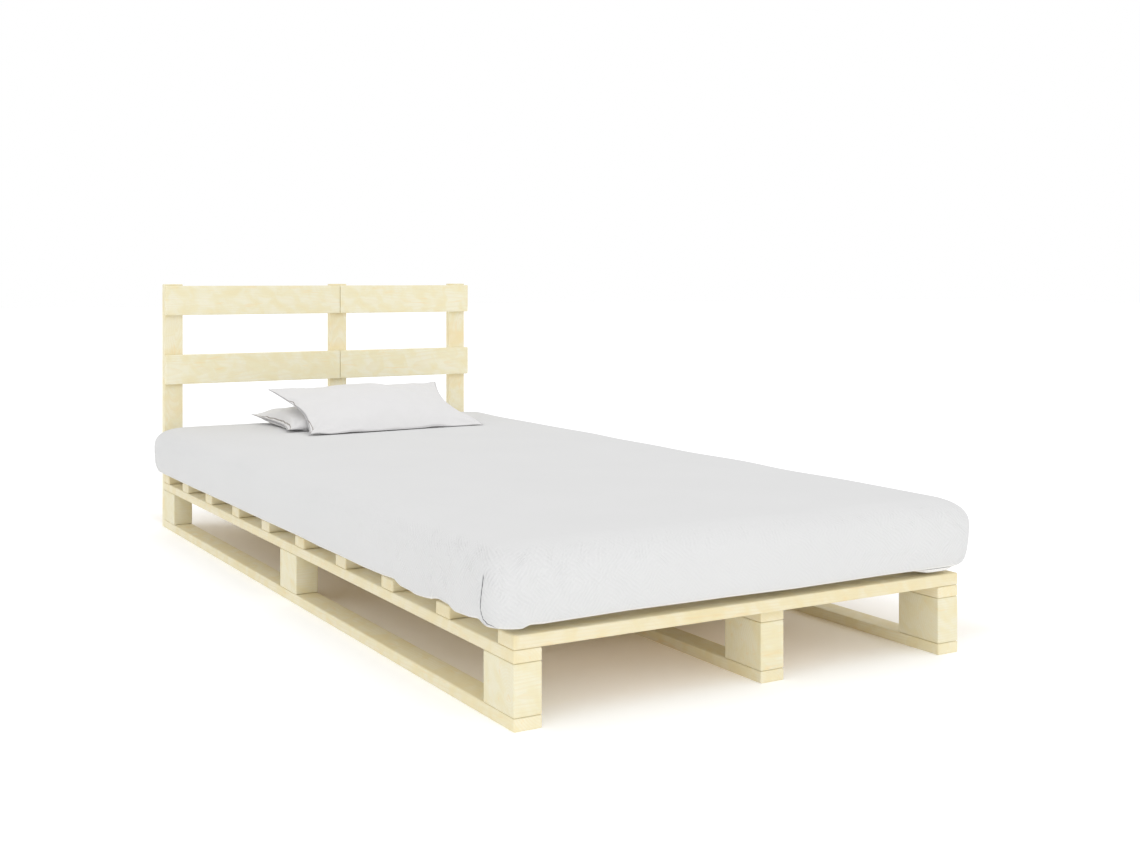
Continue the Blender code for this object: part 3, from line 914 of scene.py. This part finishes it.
def tickingMaterial():
    # woven mattress ticking: off-white, matt, a faint stripe
    material, add, shader = newMaterial("woven_ticking", 0.9, 0.3)
    coords = add("TexCoord").outputs["Object"]
    stripe = add("TexWave", {
        "Vector": coords, "Scale": ticking["stripe"], "Distortion": 0.2}).outputs["Fac"]
    pale, grey = ticking["colours"]
    tone = add("Mix", {0: stripe, 6: linear(pale), 7: linear(grey)}, "RGBA")
    finishSurface(add, shader, tone, weaveHeight(add, coords, 0.002), 0.3, 0.0004)
    return material


def buildMattress():
    # the foam body just inside the sheet, closed below by its own flat face
    points, faces, (_, columns), counts, _ = slabSurface(ticking)
    rim, numbers = points[:columns, :2], np.arange(columns)
    grid, ids, inside = filledOutline(rim, numbers, len(points), counts)
    level = np.full(grid.shape[:2] + (1,), slab["box"][0].z + ticking["inset"])
    points = np.concatenate([points, np.concatenate([grid, level], -1)[inside]])
    faces = np.concatenate([faces, gridFaces(ids)[:, [0, 3, 2, 1]]])
    swell = unevenness(points)
    points = pressedShape(points)
    points += gridNormals(points, faces) * swell[:, None]
    piece = addPiece("mattress_foam", points, faces, tickingMaterial())
    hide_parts("mattress")
    print("mattress:", len(points), "points")
    return piece


# Pillows: two layers of cotton sewn round the edge over a soft filling

pillow = {
    "depth": 0.305,
    "longDraw": 0.05,            # how far the long sides are drawn in
    "columns": 176,
    "rows": 112,
    "flange": 0.0035,            # width of the seam round the edge
    "layer": 0.0007,             # half its thickness
    "earLength": 0.065,
    "frontReach": 0.06,          # how far back the front edge settles
    # height of the soft forms, and their wavelength
    "pucker": (0.0005, 0.030),
    "soft": (0.0010, 0.11),
    "wave": (0.0014, 0.16),
    "clearance": 0.0006,         # between a pillow and what it rests on
}

pillows = {
    "pillow_rear": {
        "place": (0.0051, 0.76535, 0.2909), "lean": (math.radians(2), 0, 0), "seed": 11,
        "width": 0.491, "thickness": 0.104, "fullness": 0.55, "sideDraws": (0.10, 0.10),
        # the case is open at its left end: share of the way to the rear, and how far the upper
        # layer's hem lies back from the lower one's
        "opening": ((0, 0.008), (0.10, 0.013), (0.50, 0.015), (0.80, 0.012), (0.93, 0.004),
                    (1, 0)),
        "frontDrop": 0.0,                # how far the middle of the front edge settles
        "ears": ((-1, 1, 0.004),),       # corner, and how far its tip stands up
        "lifts": (),
    },
    "pillow_front": {
        "place": (0.0263, 0.66835, 0.3274), "seed": 4,
        "lean": (math.radians(18), 0, math.radians(2.6)),
        "width": 0.502, "thickness": 0.089, "fullness": 0.76, "sideDraws": (0.14, 0.145),
        "opening": ((0, 0), (0.03, 0.005), (0.08, 0.0125), (0.16, 0.013), (0.24, 0.007),
                    (0.30, 0.002), (0.58, 0.0012), (0.62, 0.004), (0.70, 0.0125),
                    (0.755, 0.004), (0.78, 0.001), (1, 0)),
        "frontDrop": 0.0036,
        "ears": ((1, 1, 0.001), (1, -1, -0.005)),
        # where the front edge stands off the mattress: metres from the left, reach, height
        "lifts": ((0.018, 0.026, 0.0025),),
    },
}


def pillowShape(info):
    # two crowned layers over one outline, drawn in between four corners, which run out into
    # flat ears with creases. The seam stands out a little round the edge, and the left end is
    # open: there the upper layer ends in a hem, short of the lower one
    width, depth = info["width"], pillow["depth"]
    across, along = (np.concatenate([[-1], np.linspace(-1 + rim, 1 - rim, count), [1]])
                     for rim, count in ((2 * pillow["flange"] / width, pillow["columns"]),
                                        (2 * pillow["flange"] / depth, pillow["rows"])))
    a, b = np.meshgrid(across, along, indexing="ij")
    bowA, bowB = np.cos(a * math.pi / 2).clip(0), np.cos(b * math.pi / 2).clip(0)
    sideDraw = np.where(a < 0, *info["sideDraws"])
    flat = np.stack([a * (1 - sideDraw * bowB) * width / 2,
                     b * (1 - pillow["longDraw"] * bowA) * depth / 2], -1)
    cornerX = (1 - np.abs(a)) * width / 2
    cornerY = (1 - np.abs(b)) * depth / 2
    away = np.hypot(cornerX, cornerY)
    ear = smoothStep(0.0, pillow["earLength"], away)
    rise = (bowA * bowB) ** info["fullness"] * info["thickness"] / 2 * (0.10 + 0.90 * ear)

    fromLeft, fromFront = (1 + a) * width / 2, (1 + b) * depth / 2
    back = np.interp((b + 1) / 2, *np.array(info["opening"]).T)
    fromHem = fromLeft - back
    isOpen = smoothStep(0.0015, 0.0045, back)
    upper = rise * (1 - isOpen * smoothStep(0.010, -0.002, fromHem)) \
        + isOpen * 0.0020 * smoothStep(-0.0012, 0.0020, fromHem) * smoothStep(0.06, 0.02, fromHem)

    def isAt(signA, signB):
        return (np.sign(a) == signA) & (np.sign(b) == signB)

    # creases run out from each corner, and small puckers stand along the seam
    turn = np.arctan2(cornerY, cornerX)
    rng = np.random.default_rng(info["seed"])
    form = np.zeros_like(a)
    for corner in ((-1, -1), (-1, 1), (1, -1), (1, 1)):
        fold = np.cos(turn * rng.uniform(7, 10) + rng.uniform(0, math.tau))
        form += isAt(*corner) * fold * bell(away - 0.055, 0.035) * rng.uniform(0.0012, 0.0026)
    edge = np.minimum(cornerX, cornerY)
    height, wavelength = pillow["pucker"]
    form += softNoise(flat, wavelength, info["seed"] + 1) * height * bell(edge - 0.012, 0.010)
    height, wavelength = pillow["soft"]
    form += softNoise(flat, wavelength, info["seed"] + 2) * height * smoothStep(0.0, 0.04, edge)
    border = (np.abs(a) == 1) | (np.abs(b) == 1)
    flange = (np.abs(a) >= across[-2]) | (np.abs(b) >= along[-2])
    form[flange] = 0.0
    for layer in (upper, rise):
        layer[flange] = pillow["layer"]
        layer[border] = 0.0

    # the whole pillow waves softly, its front edge settles, and its ears stand up or hang
    height, wavelength = pillow["wave"]
    wave = softNoise(flat, wavelength, info["seed"]) * height
    wave -= info["frontDrop"] * bowA * smoothStep(pillow["frontReach"], 0.0, fromFront)
    for signA, signB, height in info["ears"]:
        wave += isAt(signA, signB) * height * bell(away, 0.024)
    top = np.concatenate([flat, (upper + form + wave)[..., None]], -1)
    bottom = np.concatenate([flat, (wave - rise + form * 0.5)[..., None]], -1)
    topIds = np.arange(a.size).reshape(a.shape)
    bottomIds = topIds.copy()
    bottomIds[~border] = a.size + np.arange((~border).sum())
    points = np.concatenate([top.reshape(-1, 3), bottom[~border]])
    faces = np.concatenate([gridFaces(topIds), gridFaces(bottomIds)[:, ::-1]])

    def both(values):
        return np.concatenate([values.ravel(), values[~border]]).astype(float)

    isTop = np.arange(len(points)) < a.size
    lift = np.zeros_like(a)
    for place, reach, height in info["lifts"]:
        lift += height * bell(fromLeft - place, reach)
    lift *= smoothStep(0.055, 0.0, fromFront)
    seamShaded = flange & ~border
    # painted shade: the seam's flange is painted darker, in full at the left end, where the shaded
    # underside of the edge shows
    shares = {"seamShadeShare": both(seamShaded * np.where(a <= across[1], 1.0, 0.45)),
              "hemAcross": both(fromHem), "hemReach": both(isOpen) * isTop}
    return points, faces, isTop, both(lift), shares


def caseMaterial():
    # white cotton percale: matt, smooth, a faint weave and soft creases
    material, add, shader, shares = clothMaterial(
        "white_cotton_percale", 0.8, ("seamShadeShare", "hemAcross", "hemReach"))
    coords = add("TexCoord").outputs["Object"]
    crease = add("TexNoise", {"Vector": coords, "Scale": cotton["caseCreases"], "Detail": 3.0})
    weave = weaveHeight(add, coords, cotton["thread"])
    height = add("Math", [weave, 0.03, crease], "MULTIPLY_ADD")
    shade, light = cotton["caseColours"]
    # painted shade: a dark line under the upper layer's hem, and the seam's flange painted darker
    fold = shadeLine(add, shares["hemAcross"], shares["hemReach"], 0.0010)
    colour = linear(shade)
    # painted light and shade: the crease noise that raises the cloth also paints it lighter where
    # it stands higher
    for share, over in ((crease, light), (shares["seamShadeShare"], cotton["caseSeamShade"]),
                        (fold, cotton["hemFoldShade"])):
        colour = add("Mix", {0: share, 6: colour, 7: linear(over)}, "RGBA")
    finishSurface(add, shader, colour, height, 0.4, 0.0015)
    return material


# heights over the bed, for resting one pillow on another
restGrid = {"start": (-0.5, -1.1), "cell": 0.004, "count": (260, 540)}


def gridPlaces(points):
    # places of points on that grid, in cells
    return [(points[:, i] - restGrid["start"][i]) / restGrid["cell"] for i in (0, 1)]


def heightUnder(points, ground):
    # height of what lies under points, blended between the four nearest heights of the grid
    x, y = gridPlaces(points)
    column, line = x.astype(int), y.astype(int)
    fx, fy = x - column, y - line
    return ((1 - fx) * (1 - fy) * ground[column, line] + fx * (1 - fy) * ground[column + 1, line]
            + (1 - fx) * fy * ground[column, line + 1] + fx * fy * ground[column + 1, line + 1])


def buildPillows():
    # each pillow rests on the mattress and the pillow before it: points below come up to them
    case = caseMaterial()
    ground = np.full(restGrid["count"], slab["box"][1].z - 0.0005)
    for node, info in pillows.items():
        points, faces, isTop, lift, shares = pillowShape(info)
        points = points @ np.array(eulerMatrix(info["lean"])).T + np.array(info["place"])
        rest = heightUnder(points, ground) + pillow["clearance"]
        rest += np.where(isTop, 2 * pillow["clearance"], 0)
        points[:, 2] = np.maximum(points[:, 2], rest) + lift
        piece = addPiece("soft_" + node, points, faces, case)
        addShares(piece.data, shares)
        smooth = piece.modifiers.new("smooth", "SUBSURF")
        smooth.levels = smooth.render_levels = 1
        graph = bpy.context.evaluated_depsgraph_get()
        done = bpy.data.meshes.new_from_object(piece.evaluated_get(graph))
        piece.modifiers.clear()
        piece.data = done
        settled = np.empty(len(done.vertices) * 3, np.float32)
        done.vertices.foreach_get("co", settled)
        settled = settled.reshape(-1, 3).astype(float)
        x, y = (place.astype(int) for place in gridPlaces(settled))
        np.maximum.at(ground, (x, y), settled[:, 2])
        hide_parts(node)
        print(node, "ready:", len(done.vertices), "points")


buildCamera()
buildLight()
buildFloor()
finishTimber()
buildScrews()
fittedSheet = buildSheet()
foam = buildMattress()
buildPillows()
